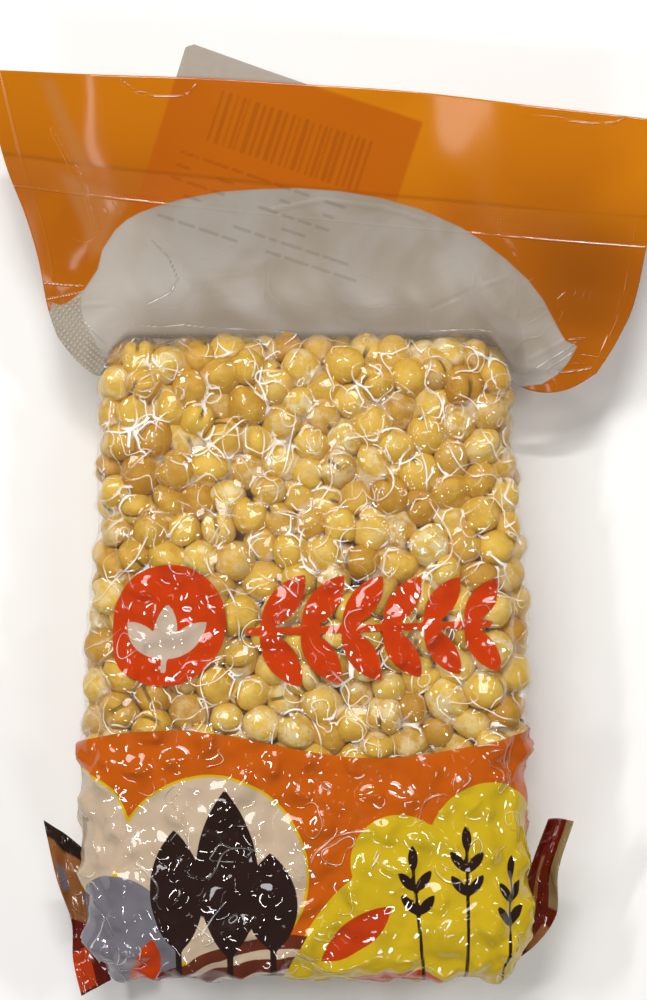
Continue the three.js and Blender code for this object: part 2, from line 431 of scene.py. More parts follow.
FILM_IOR, WINDOW_IOR = 1.5, 1.32
FILM_ROUGHNESS, HEADER_ROUGHNESS, WINDOW_ROUGHNESS, EAR_ROUGHNESS = 0.045, 0.09, 0.42, 0.12
MOST_REFLECTED = 0.25  # or a film seen edge on would be a mirror
PRINT_OPACITY, HEADER_OPACITY, WINDOW_OPACITY, KNURL_OPACITY = 0.97, 0.985, 0.72, 0.9
# The first colour paints white highlights down the film's folds. The second is the milky veil over the gaps,
# partly the film's own haze and partly painted sheen.
PAINTED_GLINT, HAZE_AND_SHEEN = (0.98, 0.95, 0.88), (0.92, 0.84, 0.68)
BAND_HALF = 3.9  # half the sealed band's width in millimetres


class Recipe:
    """One material's nodes. Each method adds a node and gives its output."""

    def __init__(self, name):
        self.material = bpy.data.materials.new(name)
        self.material.use_nodes = True
        self.tree = self.material.node_tree
        self.tree.nodes.clear()
        self.end = self.tree.nodes.new("ShaderNodeOutputMaterial")

    def node(self, kind, sockets=None, **settings):
        node = self.tree.nodes.new(kind)
        for key, value in settings.items():
            setattr(node, key, value)
        for key, value in (sockets or {}).items():
            self.feed(node.inputs[key], value)
        return node

    def feed(self, socket, value):
        if isinstance(value, bpy.types.NodeSocket):
            self.tree.links.new(value, socket)
        elif hasattr(value, "__len__"):
            socket.default_value = [*value][:3] + ([1.0] if len(socket.default_value) == 4 else [])
        else:
            socket.default_value = value

    def math(self, operation, a, b=0.0):
        return self.node("ShaderNodeMath", {0: a, 1: b}, operation=operation).outputs[0]

    def times(self, a, b):
        return self.math("MULTIPLY", a, b)

    def most(self, first, *others):
        """The largest of several values."""
        for other in others:
            first = self.math("MAXIMUM", first, other)
        return first

    def rest(self, value):
        return self.math("SUBTRACT", 1.0, value)

    def attribute(self, name):
        return self.node("ShaderNodeAttribute", attribute_name=name).outputs["Fac"]

    def mix(self, factor, a, b):
        return self.node("ShaderNodeMix", {0: factor, 6: a, 7: b}, data_type="RGBA").outputs[2]

    def blend(self, factor, a, b):
        return self.node("ShaderNodeMixShader", {0: factor, 1: a, 2: b}).outputs[0]

    def matt(self, colour, **sockets):
        return self.node("ShaderNodeBsdfDiffuse", {"Color": colour, **sockets}).outputs[0]

    def clear(self):
        return self.node("ShaderNodeBsdfTransparent").outputs[0]

    def ramp(self, value, low, high, start=0.0, end=1.0):
        """value from low to high as a number from start to end."""
        sockets = {0: value, 1: low, 2: high, 3: start, 4: end}
        return self.node("ShaderNodeMapRange", sockets, interpolation_type="SMOOTHSTEP").outputs[0]

    def inside(self, name, soft=0.12):
        """1 inside a printed shape and 0 outside, from the distance that the film keeps for it."""
        return self.ramp(self.attribute(name), -soft, soft)

    def place(self):
        return self.node("ShaderNodeTexCoord").outputs["Object"]

    def noise(self, millimetres, **sockets):
        """Noise whose grains are about that wide."""
        inputs = {"Vector": self.place(), "Scale": 1 / (millimetres * MM), **sockets}
        return self.node("ShaderNodeTexNoise", inputs).outputs["Fac"]

    def line(self, name, level, wide):
        """A narrow ridge where the film's own number is at that level, as the folds of stretched film run."""
        field = self.attribute(name) if isinstance(name, str) else name
        away = self.math("ABSOLUTE", self.math("SUBTRACT", field, level))
        return self.ramp(away, 0.0, wide, 1.0, 0.0)

    def bump(self, height, millimetres, **sockets):
        sockets = {"Height": height, "Distance": millimetres * MM, **sockets}
        return self.node("ShaderNodeBump", sockets).outputs[0]

    def skin(self, sockets):
        """Finishes an opaque material."""
        return self.done(self.node("ShaderNodeBsdfPrincipled", sockets).outputs[0])

    def glossed(self, under, normal, roughness, ior=FILM_IOR):
        """Finishes a film: what lies under it, with its own reflection over that."""
        fresnel = self.node("ShaderNodeFresnel", {"IOR": ior, "Normal": normal}).outputs[0]
        sockets = {"Color": (1, 1, 1), "Roughness": roughness, "Normal": normal}
        shine = self.node("ShaderNodeBsdfGlossy", sockets).outputs[0]
        return self.done(self.blend(self.math("MINIMUM", fresnel, MOST_REFLECTED), under, shine))

    def done(self, shader):
        self.tree.links.new(shader, self.end.inputs["Surface"])
        return self.material


def darker(ink, part):
    """An ink with only that part of its light."""
    return [v * part for v in ink]


def tight_folds(recipe, covered):
    """The folds of the vacuumed film: round each chickpea, from one to the next, and small rings on top.

    Where it is printed the film is stiffer, and only pieces of the longer folds are left.
    """
    wide = recipe.ramp(recipe.noise(7.0), 0.38, 0.66, 0.28, 0.72)
    broken = recipe.ramp(recipe.noise(8.0, Detail=0.0), 0.4, 0.5)
    round_each = recipe.times(recipe.line("fold_round", 0.0, wide), broken)
    rings = recipe.times(recipe.line("fold_ring", 0.0, 0.38), 0.9)
    longer = recipe.most(recipe.line("fold_across", 0.0, wide), rings)
    pieces = recipe.times(longer, recipe.ramp(recipe.noise(14.0), 0.53, 0.57))
    bare = recipe.times(recipe.most(round_each, longer), recipe.rest(covered))
    folds = recipe.most(bare, recipe.times(pieces, covered))
    return recipe.times(folds, recipe.attribute("facing"))


def film_creases(recipe, folds):
    """The normal of tight film, with its folds raised."""
    soft = recipe.bump(recipe.noise(5.0, Detail=0.0), 1.3)
    return recipe.bump(folds, 0.24, Normal=soft)


def chickpea_material(sizes):
    """Roasted skin, browner in places and floured on some, with a dark seam between the halves."""
    recipe = Recipe("roasted_chickpea")
    patch = recipe.noise(3.0, Detail=4.0)
    brown = recipe.ramp(recipe.math("ADD", recipe.attribute("tone"), patch), 0.7, 1.6)
    floured = recipe.times(recipe.attribute("dust"), recipe.ramp(patch, 0.4, 0.62))
    colour = recipe.mix(floured, recipe.mix(brown, sizes.gold, sizes.brown), sizes.pale)
    seam = recipe.ramp(recipe.attribute("seam"), 0.03, 0.1, 1.0, 0.0)
    grain = recipe.math("SUBTRACT", recipe.noise(1.3, Detail=3.0), seam)
    return recipe.skin({
        "Base Color": recipe.mix(recipe.times(seam, 0.85), colour, darker(sizes.brown, 0.3)),
        "Roughness": 0.52,
        "Normal": recipe.bump(grain, 0.22),
        "Specular IOR Level": 0.35,
    })


def inner_material():
    """The unlit middle of the brick, of which only the gaps show."""
    recipe = Recipe("brick_shadow")
    grain = recipe.mix(recipe.noise(6.0, Detail=2.0), (0.045, 0.02, 0.008), (0.09, 0.045, 0.018))
    return recipe.skin({"Base Color": grain, "Roughness": 0.9, "Specular IOR Level": 0.1})


# Each ink covers the ones before it.
PRINT_LAYERS = ("field", "rim", "cream", "slate", "earth", "yellow", "red", "dark", "badge", "white")
INK_OF = {"rim": "yellow"}


def brick_film_material(inks):
    """Clear film with opaque print on it, painted white highlights along its folds, and a milky veil over the
    gaps that is partly the film's own haze and partly painted sheen.
    """
    recipe = Recipe("printed_clear_film")
    ink, covered = inks.field, 0.0
    for layer in PRINT_LAYERS:
        mask = recipe.inside(f"ink_{layer}")
        ink = recipe.mix(mask, ink, getattr(inks, INK_OF.get(layer, layer)))
        covered = recipe.most(covered, mask)
    folds = tight_folds(recipe, covered)
    normal = film_creases(recipe, folds)
    uneven_ink = recipe.mix(recipe.noise(9.0, Detail=2.0), ink, recipe.mix(0.12, ink, (0.05, 0.02, 0.01)))
    # The milky veil over the gaps is partly the stretched film's own haze and partly painted sheen, which
    # lightens the shade between the chickpeas.
    thinned = recipe.ramp(recipe.noise(8.0), 0.52, 0.66, 0.02, 0.26)
    web = recipe.times(recipe.ramp(recipe.attribute("lift"), 0.7, 1.9), thinned)
    haze_and_sheen = recipe.matt(HAZE_AND_SHEEN, Normal=normal)
    veiled = recipe.blend(recipe.math("ADD", web, 0.006), recipe.clear(), haze_and_sheen)
    printed = recipe.matt(uneven_ink, Normal=normal)
    under = recipe.blend(recipe.times(covered, PRINT_OPACITY), veiled, printed)
    # Painted highlights: a matt white line down each fold, stronger in patches and fainter over the print.
    glint = recipe.ramp(recipe.noise(6.5, Detail=1.0), 0.38, 0.64, 0.05, 0.8)
    core = recipe.times(recipe.ramp(folds, 0.5, 0.95), glint)
    core = recipe.times(core, recipe.rest(recipe.times(covered, 0.4)))
    return recipe.glossed(recipe.blend(core, under, recipe.matt(PAINTED_GLINT)), normal, FILM_ROUGHNESS)


def weave(recipe, turn, pitch, bent=0.0):
    """Fine parallel ribs across the film, turned by that many degrees, and bent out of line."""
    sockets = {"Vector": recipe.place(), "Rotation": (0, 0, math.radians(turn))}
    turned = recipe.node("ShaderNodeMapping", sockets).outputs[0]
    sockets = {"Vector": turned, "Scale": math.pi / (10 * pitch * MM), "Distortion": bent, "Detail Scale": 3.0}
    return recipe.node("ShaderNodeTexWave", sockets, bands_direction="X").outputs["Fac"]


def header_relief(recipe, inked, knurled, folds, rim):
    """The header's normal: its bends and folds, the crimp of its sealed band and its knurled corner."""
    bends = recipe.times(recipe.line("bend", 0.0, 1.2), 0.6)
    seam = recipe.times(recipe.line("from_side", 5.2, 0.9), 0.25)
    pulled = recipe.line(recipe.noise(19.0, Distortion=1.0), 0.5, 0.02)
    pulled = recipe.times(pulled, recipe.times(recipe.attribute("pull"), 0.25))
    creased = recipe.most(bends, seam, folds, pulled, recipe.times(rim, 0.5))
    from_middle = recipe.math("ABSOLUTE", recipe.attribute("band"))
    sealed = recipe.ramp(from_middle, BAND_HALF - 0.3, BAND_HALF + 0.1, 1.0, 0.0)
    crimp = recipe.times(weave(recipe, 45, 0.6), weave(recipe, -45, 0.6))
    crimp = recipe.times(crimp, recipe.times(recipe.times(sealed, inked), 0.1))
    normal = recipe.bump(recipe.noise(24.0, Detail=0.0), 0.8)
    for height, millimetres in ((creased, 0.22), (crimp, 0.22), (knurled, 0.3)):
        normal = recipe.bump(height, millimetres, Normal=normal)
    return normal


def header_ink(recipe, inks, marks):
    """The header's orange: deeper below, with painted shade over the label and darker over its bars, a patch of
    painted shade on the right wing, a darker line along the sealed band, and pale patches of painted
    reflection.
    """
    cloudy = recipe.ramp(recipe.noise(55.0), 0.4, 0.62, 0.0, 0.4)
    deep = recipe.math("ADD", recipe.ramp(recipe.attribute("below"), 2.0, 44.0, 0.0, 0.85), cloudy)
    ink = recipe.mix(recipe.math("MINIMUM", deep, 1.0), inks.header, inks.header_deep)
    # Painted shade over the label, where no light comes through from behind.
    ink = recipe.mix(recipe.times(recipe.inside("label", 0.5), 0.72), ink, inks.header_shaded)
    ink = recipe.mix(recipe.times(marks, 0.35), ink, darker(inks.header_shaded, 0.5))
    # Painted shade: a patch over the right wing, and a darker line along the sealed band's upper edge.
    band_edge = recipe.times(recipe.line("band", -BAND_HALF - 0.2, 1.0), 0.35)
    dim = recipe.most(recipe.times(recipe.attribute("shade"), 0.75), band_edge)
    ink = recipe.mix(dim, ink, darker(inks.header_deep, 0.55))
    # Painted reflection: pale patches on the header's left.
    apart = recipe.times(recipe.ramp(recipe.attribute("glare"), -1.0, 2.5), 0.4)
    return recipe.mix(apart, ink, inks.header_painted_reflection)


def window_smoke(recipe, inks, marks, knurl, ribs):
    """The window's smoky grey: milky in streaks, paler on the left and on the ribs of its knurled corner."""
    streaks = recipe.ramp(recipe.noise(18.0, Detail=3.0, Distortion=0.8), 0.35, 0.7)
    milky = recipe.mix(streaks, inks.smoke, inks.smoke_light)
    milky = recipe.mix(recipe.times(recipe.attribute("pale"), 0.7), milky, inks.smoke_pale)
    milky = recipe.mix(recipe.times(marks, 0.3), milky, darker(inks.smoke, 0.35))
    return recipe.mix(knurl, milky, recipe.mix(ribs, inks.smoke, inks.smoke_pale))


def header_material(inks):
    """The header's two films: orange ink round a smoky window, the crimped seals, the label behind, and painted
    white highlights along its folds.
    """
    recipe = Recipe("header_film")
    knurl = recipe.inside("knurl", 0.3)
    open_film = recipe.most(recipe.inside("window", 0.25), knurl)
    inked = recipe.rest(open_film)
    marks = recipe.inside("marks", 0.25)
    ribs = recipe.times(weave(recipe, 35, 1.1, 1.2), weave(recipe, -50, 1.3, 1.2))
    folds = recipe.line("fold", 0.0, 0.42)
    rim = recipe.times(recipe.line("band", BAND_HALF, 0.5), recipe.ramp(inked, 0.0, 1.0, 0.3, 1.0))
    normal = header_relief(recipe, inked, recipe.times(ribs, knurl), folds, rim)
    clear = recipe.clear()
    printed = recipe.blend(HEADER_OPACITY, clear, recipe.matt(header_ink(recipe, inks, marks), Normal=normal))
    smoke = recipe.matt(window_smoke(recipe, inks, marks, knurl, ribs), Normal=normal)
    body = recipe.times(recipe.attribute("body"), WINDOW_OPACITY)
    window = recipe.blend(recipe.most(body, recipe.times(knurl, KNURL_OPACITY)), clear, smoke)
    under = recipe.blend(inked, window, printed)
    # Painted highlights: matt white lines down the folds and along the sealed band's lower edge, brighter in
    # patches.
    lines = recipe.ramp(recipe.most(folds, recipe.times(rim, 0.62)), 0.5, 0.95)
    core = recipe.times(lines, recipe.ramp(recipe.noise(7.0), 0.4, 0.6, 0.05, 0.6))
    lit = recipe.blend(core, under, recipe.matt((0.95, 0.92, 0.86)))
    rough = recipe.ramp(open_film, 0.0, 1.0, HEADER_ROUGHNESS, WINDOW_ROUGHNESS)
    return recipe.glossed(lit, normal, rough, recipe.ramp(open_film, 0.0, 1.0, FILM_IOR, WINDOW_IOR))


def ear_material(name, inks, ground, patches):
    """Folded film. patches lists each ink with where it begins and ends across and along the ear."""
    recipe = Recipe(name)
    folds = recipe.line(recipe.noise(9.0, Detail=1.0, Distortion=0.8), 0.5, 0.03)
    normal = film_creases(recipe, recipe.times(folds, 0.5))
    bend = recipe.times(recipe.noise(14.0), 0.16)
    across = recipe.math("ADD", recipe.attribute("across"), bend)
    along = recipe.math("ADD", recipe.attribute("along"), bend)
    ink = getattr(inks, ground)
    for layer, begin_u, end_u, begin_v, end_v in patches:
        mask = 1.0
        for value, begin, end in ((across, begin_u, end_u), (along, begin_v, end_v)):
            mask = recipe.times(mask, recipe.ramp(value, begin, begin + 0.02))
            mask = recipe.times(mask, recipe.ramp(value, end, end + 0.02, 1.0, 0.0))
        ink = recipe.mix(mask, ink, getattr(inks, layer))
    return recipe.glossed(recipe.matt(ink, Normal=normal), normal, EAR_ROUGHNESS)


def label_material(inks):
    """Thin matt paper with rows of grey bars that show through it."""
    recipe = Recipe("label_paper")
    fibre = recipe.mix(recipe.noise(2.0, Detail=5.0), inks.paper, darker(inks.paper, 0.86))
    paper = recipe.mix(recipe.times(recipe.inside("marks", 0.1), 0.62), fibre, (0.16, 0.13, 0.11))
    grain = recipe.bump(recipe.noise(0.8, Detail=4.0), 0.05)
    return recipe.skin({"Base Color": paper, "Roughness": 0.75, "Normal": grain})


# ---- The print on the brick ----


def circle(x, y, cx, cy, r):
    """The distance inside a circle: above 0 within it."""
    return r - np.hypot(x - cx, y - cy)


def ring(x, y, cx, cy, r, wide):
    """The distance inside a ring that wide."""
    return wide / 2 - np.abs(np.hypot(x - cx, y - cy) - r)


def stroke(x, y, ax, ay, bx, by, wide):
    """The distance inside a straight stroke with round ends."""
    dx, dy = bx - ax, by - ay
    along = np.clip(((x - ax) * dx + (y - ay) * dy) / (dx * dx + dy * dy), 0, 1)
    return wide / 2 - np.hypot(x - ax - along * dx, y - ay - along * dy)


def from_lines(x, y, lines):
    """The distance from the nearest of several bent lines."""
    return np.minimum.reduce([-stroke(x, y, *a, *b, 0) for line in lines for a, b in zip(line, line[1:])])


def leaf(x, y, ax, ay, long, turn, fat=0.32):
    """The distance inside a pointed leaf that grows from a point: where two circles meet."""
    turn = math.radians(turn)
    u = (x - ax) * math.cos(turn) + (y - ay) * math.sin(turn) - long / 2
    v = -(x - ax) * math.sin(turn) + (y - ay) * math.cos(turn)
    wide = fat * long / 2
    r = (long**2 / 4 + wide**2) / (2 * wide)
    return np.minimum(r - np.hypot(u, v + r - wide), r - np.hypot(u, v - r + wide))


def any_of(*shapes):
    """The distance inside the union of several shapes."""
    return np.maximum.reduce(shapes)


def all_of(*shapes):
    """The distance inside what several shapes share."""
    return np.minimum.reduce(shapes)


def print_layers(x, y):
    """Each ink's distance inside its shapes, at points of the flat film in millimetres."""
    ground = -21.5 - 3.5 * np.sin((x + 8) / 17) - y
    far_hill = any_of(circle(x, y, -66, -100, 40), circle(x, y, -50, -72, 17))
    ploughed = circle(x, y, -4, -122, 52)
    cloud = circle(x, y, -60, -44, 15)
    near_hill = any_of(circle(x, y, 46, -98, 54), circle(x, y, 24, -52, 12), circle(x, y, 48, -48, 16))
    sun = circle(x, y, -24, -54, 24)
    paths = any_of(*(ring(x, y, -4, -122, r, 2.6) for r in (47, 40, 33)))
    trees = [leaf(x, y, tx, ty, long, 90, fat) for tx, ty, long, fat in TREES]
    trunks = [stroke(x, y, tx, ty - 7, tx, ty + 2, 1.6) for tx, ty, _, _ in TREES]
    stalks = [stroke(x, y, sx, -92, sx + lean, top, 0.9) for sx, lean, top in STALKS]
    ears = [
        leaf(x, y, sx + lean * (h + 92) / (top + 92), h, 7, 90 + turn, 0.36)
        for sx, lean, top in STALKS
        for h, turn in ((top - 2, 0), (top - 7, 38), (top - 7, -38), (top - 13, 38), (top - 13, -38))
    ]
    pods = any_of(*(leaf(x, y, px, py, long, turn, 0.34) for px, py, long, turn in PODS))
    badge = circle(x, y, -36.5, 8.5, 15.5)
    stem = stroke(x, y, -15, 7, 47, 9, 1.8)
    leaves = [
        leaf(x, y, -12 + 10.5 * i, 7.3 + 0.3 * i, 18 - 0.6 * i, turn, 0.42)
        for i in range(6)
        for turn in (52, -52)
    ]
    sprig = [leaf(x, y, -36.5, 0, 14, turn, 0.42) for turn in (90, 42, 138)]
    return {
        "field": ground,
        "rim": all_of(any_of(sun, cloud, near_hill, far_hill) + 0.7, ground + 4),
        "cream": all_of(any_of(sun, cloud, all_of(paths, -72 - y)), ground + 4),
        "slate": far_hill,
        "earth": all_of(ploughed, -paths),
        "yellow": near_hill,
        "red": pods,
        "dark": any_of(*trees, *trunks, *stalks, *ears),
        "badge": any_of(badge, stem, *leaves),
        "white": all_of(any_of(*sprig, stroke(x, y, -36.5, -3, -36.5, 6, 1.4)), badge - 1),
    }


TREES = ((-33, -75, 32, 0.42), (-20, -77, 44, 0.36), (-9, -75, 26, 0.5))
STALKS = ((30, -3, -52), (40, 1, -47), (50, 4, -55))
PODS = ((3, -78, 24, 40), (10, -88, 26, 8), (-44, -92, 22, 78))


# ---- Pieces ----


class Piece:
    """What the operators share."""

    bl_options = {"REGISTER", "UNDO"}

    def execute(self, context):
        self.make(context.scene)
        return {"FINISHED"}


def chickpea_form():
    """A ball of radius 1 whose points crowd towards the plane of the cleft."""
    bm = bmesh.new()
    bmesh.ops.create_uvsphere(bm, u_segments=10, v_segments=6, radius=1)
    for vert in bm.verts:
        turn = math.atan2(vert.co.y, vert.co.x)
        flat = math.hypot(vert.co.x, vert.co.y)
        turn -= 0.3 * math.sin(2 * turn)
        vert.co.x, vert.co.y = flat * math.cos(turn), flat * math.sin(turn)
    return bm


def lumps(p, draws):
    """Smooth uneven growth, from -1 to 1, not the same on any two chickpeas."""
    phase = draws[:, None, 3:6] * 2 * math.pi
    a = np.sin(2.3 * p[..., 0] + 1.1 * p[..., 1] + phase[..., 0])
    b = np.sin(2.6 * p[..., 1] - 1.4 * p[..., 2] + phase[..., 1])
    c = np.sin(3.1 * p[..., 2] + 1.7 * p[..., 0] + phase[..., 2])
    return (a + b + c) / 3


def turning(draws):
    """A turn for each chickpea, as matrices."""
    return np.array([Euler(2 * math.pi * d).to_matrix() for d in draws])


def pour_chickpeas(name, material, centres, radii, seed, levels, replaces=None):
    """A layer of chickpeas as one piece, no two of them alike."""
    dice = Dice(seed)
    draws = np.array([[dice() for _ in range(12)] for _ in radii])
    form = chickpea_form()
    p = np.repeat(coordinates(form)[None], len(radii), axis=0)
    template = bpy.data.meshes.new(name)
    form.to_mesh(template)
    form.free()
    bm = bmesh.new()
    for _ in radii:
        bm.from_mesh(template)
    bpy.data.meshes.remove(template)
    x, y, z = p[..., 0], p[..., 1], p[..., 2]
    square = 1 / (np.abs(p) ** 2.7).sum(axis=-1) ** (1 / 2.7) - 1
    cleft = (0.22 + 0.24 * draws[:, 0:1]) * np.exp(-((y / 0.2) ** 2)) * np.clip(0.9 + z, 0, 1)
    beak = 0.12 * np.maximum(0, z) ** 6 - 0.05 * np.maximum(0, -z) ** 3
    size = (1.0 + 0.7 * square - cleft + beak) * (1 + 0.06 * lumps(p, draws))
    shaped = p * size[..., None] * (1 - 0.16 * draws[:, None, 9:12])
    shaped *= SWELLING / np.linalg.norm(shaped, axis=2).mean(axis=1)[:, None, None]
    turned = np.einsum("nij,nvj->nvi", turning(draws[:, 6:9]), shaped)
    points = (centres[:, None] + turned * radii[:, None, None]).reshape(-1, 3)
    points[:, 2] = np.maximum(points[:, 2], 0.15)
    place(bm, points)
    write_layers(
        bm,
        seam=(np.abs(y) + np.where(z > -0.7, 0, 0.3)).ravel(),
        tone=np.repeat(draws[:, 1], p.shape[1]),
        dust=np.repeat(np.maximum(0, 1.7 * draws[:, 2] - 0.7), p.shape[1]),
    )
    piece = finish(bm, name, material, replaces)
    if levels:
        rounded = piece.modifiers.new("rounded", "SUBSURF")
        rounded.levels = rounded.render_levels = levels
    return piece


FILM_GAP = 0.12
OUTER_SEED, INNER_SEED = 20, 57
INNER_DEPTH = 4.8
CORE_DEPTH = 12
FRONT_ABOVE, BACK_BELOW = 8, -10
SWELLING = 1.12


class CHICKPEAS_OT_fill(Piece, bpy.types.Operator):
    """Lays the chickpeas of the brick: the outer layer, and the one that shows in its gaps"""

    bl_idname = "chickpeas.fill"
    bl_label = "Chickpeas"

    def make(self, scene):
        sizes, brick = scene.chickpea_sizes, Brick(scene.brick_sizes)
        material = chickpea_material(sizes)
        centres, radii = laid_chickpeas(brick, sizes, OUTER_SEED)
        placed = brick.settled(centres)
        placed[:, 2] = np.maximum(placed[:, 2], 1.1 * radii + 0.1)
        front, back = centres[:, 2] > FRONT_ABOVE, centres[:, 2] < BACK_BELOW
        groups = {"front": front, "sides": ~front & ~back, "back": back}
        for number, (name, chosen) in enumerate(groups.items()):
            pour_chickpeas(
                f"chickpeas_{name}", material, placed[chosen], radii[chosen], 31 + number, 1,
                "bag" if name == "front" else None,
            )
        centres, radii = laid_chickpeas(brick, sizes, INNER_SEED, INNER_DEPTH)
        placed = brick.settled(centres)
        pour_chickpeas("chickpeas_inner", material, placed, radii, 41, 0)
        self.core(brick)

    def core(self, brick):
        bm = cut_box(brick.half - CORE_DEPTH, (14, 22, 3))
        place(bm, brick.settled(coordinates(bm)))
        finish(bm, "brick_core", inner_material())


class CHICKPEAS_OT_brick_film(Piece, bpy.types.Operator):
    """Draws the printed film tight over the brick of chickpeas"""

    bl_idname = "chickpeas.brick_film"
    bl_label = "Film over the brick"

    def make(self, scene):
        sizes = scene.brick_sizes
        brick = Brick(sizes)
        pitch = sizes.film_pitch / MM
        centres, radii = laid_chickpeas(brick, scene.chickpea_sizes, OUTER_SEED)
        across, along, up = (2 * brick.half / pitch).astype(int)
        bm = cut_box(brick.half, (across, along, up // 2))
        box = coordinates(bm)
        at, out = brick.skin(box)
        held = held_out(brick, at, out) + FILM_GAP
        height = drape(bm, held, sizes.draw, pitch)
        lift = np.minimum(height - held, 3)
        fine = uneven(at, 4.5)
        height += smoothstep(0.05, 0.6, lift) * 0.5 * fine
        place(bm, brick.settled(at + out * height[:, None]))
        write_layers(
            bm,
            lift=lift,
            fold_round=to_gap(at, out, centres, radii) + 2.6 * uneven(at, 8, 1.3) - 0.6,
            fold_across=contour(at, out, 14, 0.0, 3.7),
            fold_ring=contour(at, out, 6.2, 0.24, 8.1),
            facing=0.3 + 0.7 * smoothstep(0.05, 0.6, out[:, 2]),
        )
        inks = print_layers(*brick.unfolded(box))
        write_layers(bm, **{f"ink_{layer}": inside for layer, inside in inks.items()})
        finish(bm, "film_brick", brick_film_material(scene.print_colours), "bag")


class Header:
    """The empty film beyond the brick: its four edges, and how its two films lie.

    The foot runs from the left edge's start to the right one's, and the top bows up by the arch. glare outlines
    the pale patches of painted reflection on the header's left.
    """

    left = [(-65.3, 83), (-68, 91), (-70.2, 103), (-73.4, 114.5), (-78.5, 128.5), (-84, 151.3)]
    right = [(76, 73.6), (81, 81.5), (85.6, 91.5), (88.6, 105.5), (91, 120), (93, 138.7)]
    foot = [(-65.3, 83), (-60, 76.6), (-54.5, 73.2), (-49, 77), (-30, 80.3), (-10, 81), (10, 81)]
    foot += [(30, 80.3), (48, 77.5), (55.5, 71), (62, 68.8), (69, 69.6), (76, 73.6)]
    arch = 4.1
    lies_at, lift_out, lift_aside = 17, 6, 9
    shoulder_starts, shoulder_high, shoulder_fades = 80, 14.5, 7
    film_half, pocket_half = 0.18, 0.8
    window = [(-65, 83), (-65.2, 87.5), (-64.2, 91), (-60.5, 94), (-58.4, 95.7), (-55, 101), (-53.7, 106.3)]
    window += [(-50.3, 111.6), (-47.4, 114.2), (-44, 116.1), (-38.8, 118), (-33.5, 119.6), (-23, 121.6)]
    window += [(-12.4, 122.4), (-1.8, 122.7), (8.8, 121.9), (19.4, 120.1), (29.9, 117.1), (40.5, 112.3)]
    window += [(45.8, 108.9), (52.4, 103.8), (58.1, 98.5), (62.1, 93.2), (64.9, 87.9), (67.8, 82.3), (71, 80.8)]
    window += [(69, 77), (66.3, 73.6), (62, 70.9), (54.5, 70), (50, 60), (-50, 60), (-56, 72)]
    knurl = [(-66.8, 92), (-64.2, 91.5), (-59.2, 94), (-59.4, 91), (-58.7, 87.5), (-55.8, 82.5), (-51, 74)]
    knurl += [(-50, 70), (-58, 68), (-70, 82)]
    folds = [
        [(-58.7, 87.5), (-53.1, 82), (-47, 76.5)],
        [(-69, 97.2), (-58.7, 96.5)],
        [(-68.2, 93), (-58.7, 95)],
        [(-48.6, 150.3), (-45, 147.5), (-39.4, 146.1), (-34, 146.1), (-30.8, 146.9), (-29, 149.4)],
        [(57, 141.2), (66.2, 140.2), (74, 138.6), (80.5, 138.7), (83.4, 140.2)],
        [(-41, 109.1), (-36.5, 104.6), (-33.9, 98.6), (-35.7, 94.9), (-42, 91.5)],
        [(60.4, 75.1), (65, 78), (70.4, 81.4)],
        [(62, 74), (66, 76.5), (69.5, 79)],
        [(68.8, 82.5), (73, 82.6)],
        [(66.5, 73.8), (71, 74.3), (74.7, 75)],
        [(30, 84.2), (43, 84.6), (48.5, 84)],
        [(-45, 86), (-39, 85.3), (-32, 86), (-25, 85), (-11, 84.9), (-3, 83.4)],
    ]
    bends = [
        [(-58.9, 91.5), (-49.7, 92), (-45.2, 87)],
        [(32.4, 90.5), (43.7, 95.6), (52.9, 99), (55.2, 98), (55.2, 88.8)],
        [(-9, 117), (4, 119.5), (20, 117.5), (31, 114)],
        [(-66, 137), (-58, 122), (-55, 112)],
        [(59, 77.5), (67.5, 82)],
    ]
    # Outlines of the pale patches of painted reflection.
    glare = [
        [(-70, 150), (-65.5, 150.5), (-60, 137), (-55.5, 126), (-58, 123), (-62.5, 130)],
        [(-66, 127), (-58, 125), (-46, 119), (-50, 113), (-53, 105), (-57, 103), (-60, 113)],
    ]

    def __init__(self, brick):
        self.brick = brick

    def on(self, u, v):
        """The header's points from its four edges."""
        top_left, top_right = np.array(self.left[-1]), np.array(self.right[-1])
        foot_left, foot_right = np.array(self.foot[0]), np.array(self.foot[-1])
        u2, v2 = u[:, None], v[:, None]
        level = top_left + (top_right - top_left) * u2
        top = level + np.stack([0 * u, 4 * self.arch * u * (1 - u)], axis=1)
        across = spline(self.left, v) * (1 - u2) + spline(self.right, v) * u2
        square = (foot_left + (foot_right - foot_left) * u2) * (1 - v2) + level * v2
        return spline(self.foot, u) * (1 - v2) + top * v2 + across - square

    def below_ends(self, x, y):
        """How far a point lies below the straight line between the ends of the top edge."""
        (ax, ay), (bx, by) = self.left[-1], self.right[-1]
        return ay + (by - ay) * (x - ax) / (bx - ax) - y

    def below_top(self, x, y):
        u = (x - self.left[-1][0]) / (self.right[-1][0] - self.left[-1][0])
        return self.below_ends(x, y) + 4 * self.arch * u * (1 - u)

    def middle(self, x, y):
        """The height half way between the two films."""
        up = (y - self.brick.half[1]) / (self.left[-1][1] - self.brick.half[1])
        out = (x - 5) / self.right[-1][0]
        wave = np.sin(x / 20 + 0.6) + 0.6 * np.sin(x / 9 + y / 31)
        return self.lies_at + self.lift_out * up * np.abs(up) + self.lift_aside * out**2 + 1.1 * up * wave

